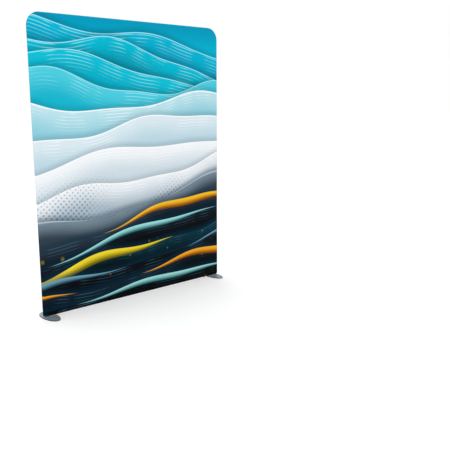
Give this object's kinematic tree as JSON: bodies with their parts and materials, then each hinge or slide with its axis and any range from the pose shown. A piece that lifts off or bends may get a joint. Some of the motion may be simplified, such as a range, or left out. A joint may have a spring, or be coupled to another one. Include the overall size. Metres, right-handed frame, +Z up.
{
  "type": "fabric display wall",
  "caption": "Free-standing display wall: printed stretch-fabric cover zipped over a plug-together tube frame with rounded top corners, on oval foot plates.",
  "frame": {"origin": "on the floor, midway between the feet and in the middle of the wall's thickness", "axes": "+Z up, +X along the wall to the right seen from the front, printed front faces -Y"},
  "size_m": [2.006, 0.285, 2.5],
  "materials": {
    "printed_fabric": "stretch knit polyester, dye-printed, matt",
    "plain_fabric": "stretch knit polyester, unprinted white",
    "zip_tape": "woven polyester tape",
    "zip_teeth": "nylon coil",
    "zip_metal": "zinc casting, black enamel",
    "frame_tube": "drawn tube, silver anodised",
    "spigot": "turned sleeve, mill finish",
    "elbow_casting": "die casting, shot-blasted",
    "saddle_plastic": "glass-filled nylon",
    "button_steel": "zinc plated",
    "spring_steel": "tempered strip",
    "rivet": "blind rivet",
    "foot_plate": "steel plate, silver-grey powder coat",
    "foot_pad": "moulded rubber",
    "screw_steel": "zinc plated",
    "insert_brass": "turned brass"
  },
  "bodies": {
    "wall": {"bottom_saddle": "saddle_plastic", "button_springs": "spring_steel", "centre_lower_post": "frame_tube", "centre_post_spigot": "spigot", "centre_upper_post": "frame_tube", "foot_inserts": "insert_brass", "front_fabric": "printed_fabric", "front_zip_tape": "zip_tape", "front_zip_teeth": "zip_teeth", "left_bottom_elbow": "elbow_casting", "left_bottom_rail": "frame_tube", "left_foot_screw": "screw_steel", "left_lower_post": "frame_tube", "left_post_spigot": "spigot", "left_shoulder_spigot": "spigot", "left_top_bend": "frame_tube", "left_top_spigot": "spigot", "left_upper_post": "frame_tube", "middle_hem_spigot": "spigot", "rear_fabric": "plain_fabric", "rear_zip_tape": "zip_tape", "rear_zip_teeth": "zip_teeth", "right_bottom_elbow": "elbow_casting", "right_bottom_rail": "frame_tube", "right_foot_screw": "screw_steel", "right_lower_post": "frame_tube", "right_post_spigot": "spigot", "right_shoulder_spigot": "spigot", "right_top_bend": "frame_tube", "right_top_spigot": "spigot", "right_upper_post": "frame_tube", "spigot_rivets": "rivet", "top_rail": "frame_tube", "top_saddle": "saddle_plastic", "zip_stops": "zip_metal"},
    "left_foot": {"left_foot_plate": "foot_plate", "left_foot_pads": "foot_pad"},
    "right_foot": {"right_foot_plate": "foot_plate", "right_foot_pads": "foot_pad"},
    "slider": {"zip_slider": "zip_metal"},
    "pull": {"zip_pull": "zip_metal"},
    "left_base_button": {"left_base_button": "button_steel"},
    "left_post_button": {"left_post_button": "button_steel"},
    "left_shoulder_button": {"left_shoulder_button": "button_steel"},
    "left_top_button": {"left_top_button": "button_steel"},
    "left_hem_button": {"left_hem_button": "button_steel"},
    "right_base_button": {"right_base_button": "button_steel"},
    "right_post_button": {"right_post_button": "button_steel"},
    "right_shoulder_button": {"right_shoulder_button": "button_steel"},
    "right_top_button": {"right_top_button": "button_steel"},
    "right_hem_button": {"right_hem_button": "button_steel"},
    "middle_hem_button": {"middle_hem_button": "button_steel"},
    "centre_post_button": {"centre_post_button": "button_steel"}
  },
  "joints": [
    {"name": "left_foot_swivel", "type": "hinge", "parent": "wall", "child": "left_foot", "pos_m": [-0.939, 0, 0.008], "axis": [0, 0, 1], "continuous": true},
    {"name": "right_foot_swivel", "type": "hinge", "parent": "wall", "child": "right_foot", "pos_m": [0.939, 0, 0.008], "axis": [0, 0, 1], "continuous": true},
    {"name": "zip_slide", "type": "slide", "parent": "wall", "child": "slider", "axis": [-1, 0, 0], "range_m": [0, 1.662]},
    {"name": "zip_pull_swing", "type": "hinge", "parent": "slider", "child": "pull", "pos_m": [0.831, 0, 0.01035], "axis": [0, -1, 0], "range_deg": [0, 180]},
    {"name": "left_base_press", "type": "slide", "parent": "wall", "child": "left_base_button", "axis": [-1, 0, 0], "range_m": [0, 0.0034], "stiffness_N_per_m": 1500, "springref_m": -0.003, "deforming": ["button_springs"]},
    {"name": "left_post_press", "type": "slide", "parent": "wall", "child": "left_post_button", "axis": [-1, 0, 0], "range_m": [0, 0.0034], "stiffness_N_per_m": 1500, "springref_m": -0.003, "deforming": ["button_springs"]},
    {"name": "left_shoulder_press", "type": "slide", "parent": "wall", "child": "left_shoulder_button", "axis": [-1, 0, 0], "range_m": [0, 0.0034], "stiffness_N_per_m": 1500, "springref_m": -0.003, "deforming": ["button_springs"]},
    {"name": "left_top_press", "type": "slide", "parent": "wall", "child": "left_top_button", "axis": [0, 0, 1], "range_m": [0, 0.0034], "stiffness_N_per_m": 1500, "springref_m": -0.003, "deforming": ["button_springs"]},
    {"name": "left_hem_press", "type": "slide", "parent": "wall", "child": "left_hem_button", "axis": [0, 0, -1], "range_m": [0, 0.0034], "stiffness_N_per_m": 1500, "springref_m": -0.003, "deforming": ["button_springs"]},
    {"name": "right_base_press", "type": "slide", "parent": "wall", "child": "right_base_button", "axis": [1, 0, 0], "range_m": [0, 0.0034], "stiffness_N_per_m": 1500, "springref_m": -0.003, "deforming": ["button_springs"]},
    {"name": "right_post_press", "type": "slide", "parent": "wall", "child": "right_post_button", "axis": [1, 0, 0], "range_m": [0, 0.0034], "stiffness_N_per_m": 1500, "springref_m": -0.003, "deforming": ["button_springs"]},
    {"name": "right_shoulder_press", "type": "slide", "parent": "wall", "child": "right_shoulder_button", "axis": [1, 0, 0], "range_m": [0, 0.0034], "stiffness_N_per_m": 1500, "springref_m": -0.003, "deforming": ["button_springs"]},
    {"name": "right_top_press", "type": "slide", "parent": "wall", "child": "right_top_button", "axis": [0, 0, 1], "range_m": [0, 0.0034], "stiffness_N_per_m": 1500, "springref_m": -0.003, "deforming": ["button_springs"]},
    {"name": "right_hem_press", "type": "slide", "parent": "wall", "child": "right_hem_button", "axis": [0, 0, -1], "range_m": [0, 0.0034], "stiffness_N_per_m": 1500, "springref_m": -0.003, "deforming": ["button_springs"]},
    {"name": "middle_hem_press", "type": "slide", "parent": "wall", "child": "middle_hem_button", "axis": [0, 0, -1], "range_m": [0, 0.0034], "stiffness_N_per_m": 1500, "springref_m": -0.003, "deforming": ["button_springs"]},
    {"name": "centre_post_press", "type": "slide", "parent": "wall", "child": "centre_post_button", "axis": [-1, 0, 0], "range_m": [0, 0.0034], "stiffness_N_per_m": 1500, "springref_m": -0.003, "deforming": ["button_springs"]}
  ]
}
